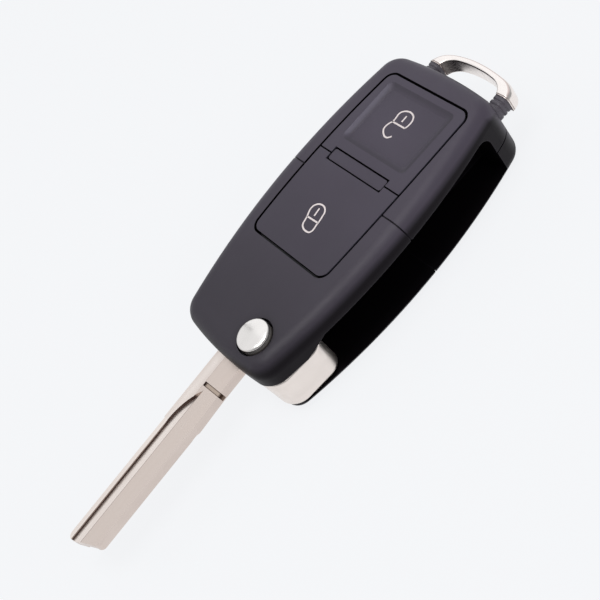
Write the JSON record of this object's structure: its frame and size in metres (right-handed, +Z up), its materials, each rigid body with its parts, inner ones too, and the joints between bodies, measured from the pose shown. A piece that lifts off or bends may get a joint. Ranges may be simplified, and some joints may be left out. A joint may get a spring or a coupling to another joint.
{
  "type": "flip key shell",
  "caption": "Flip key shell with a folding steel blade on a sprung bright hub, a round release button, lock and unlock buttons on a dark case, and a key-ring loop.",
  "frame": {"origin": "middle of the whole key's base, with the blade open", "axes": "+X towards the key-ring loop, the blade points to -X; +Z up, out of the face with the buttons"},
  "size_m": [0.117, 0.0358, 0.0169],
  "materials": {
    "case_plastic": "fine moulded grain",
    "key_plastic": "fine moulded grain",
    "inner_plastic": "moulded",
    "bright_metal": "satin bright plating",
    "blade_steel": "nickel plated, milled",
    "spring_steel": "drawn wire",
    "rubber_sheet": "moulded",
    "board_green": "solder mask",
    "chip_black": "moulded",
    "switch_metal": "stamped",
    "contact_brass": "stamped",
    "ceramic_tan": "fired"
  },
  "bodies": {
    "case": {"head_upper_shell": "case_plastic", "head_lower_shell": "case_plastic", "remote_upper_shell": "case_plastic", "remote_lower_shell": "case_plastic", "button_bridge": "key_plastic", "keypad_membrane": "rubber_sheet", "circuit_board": "board_green", "lock_switch": "switch_metal", "unlock_switch": "switch_metal", "controller": "chip_black", "resonator": "switch_metal", "chip_capacitors": "ceramic_tan", "antenna_loop": "contact_brass", "coin_cell": "switch_metal", "battery_contact_negative": "contact_brass", "battery_contact_positive": "contact_brass", "transponder": "chip_black", "case_screw": "spring_steel", "key_ring_bail": "bright_metal", "ring_sleeves": "inner_plastic"},
    "blade_group": {"key_blade": "blade_steel", "blade_carrier": "bright_metal", "blade_pin": "spring_steel", "flip_spring": "spring_steel"},
    "release": {"release_button": "bright_metal"},
    "lock_key": {"lock_button": "key_plastic", "lock_stem": "chip_black"},
    "unlock_key": {"unlock_button": "key_plastic", "unlock_stem": "chip_black"}
  },
  "joints": [
    {"name": "blade_fold", "type": "hinge", "parent": "case", "child": "blade_group", "pos_m": [-0.00827, -0.00836, 0.006], "axis": [0, 0, 1], "range_deg": [0, 180], "stiffness_Nm_per_rad": 0.01, "springref_deg": -17.19},
    {"name": "release_press", "type": "slide", "parent": "blade_group", "child": "release", "axis": [0, 0, -1], "range_m": [0, 0.002], "stiffness_N_per_m": 600, "springref_m": -0.001, "deforming": ["flip_spring"]},
    {"name": "lock_press", "type": "slide", "parent": "case", "child": "lock_key", "axis": [0, 0, -1], "range_m": [0, 0.0004], "stiffness_N_per_m": 1500, "springref_m": -0.0004},
    {"name": "unlock_press", "type": "slide", "parent": "case", "child": "unlock_key", "axis": [0, 0, -1], "range_m": [0, 0.0004], "stiffness_N_per_m": 1500, "springref_m": -0.0004}
  ]
}
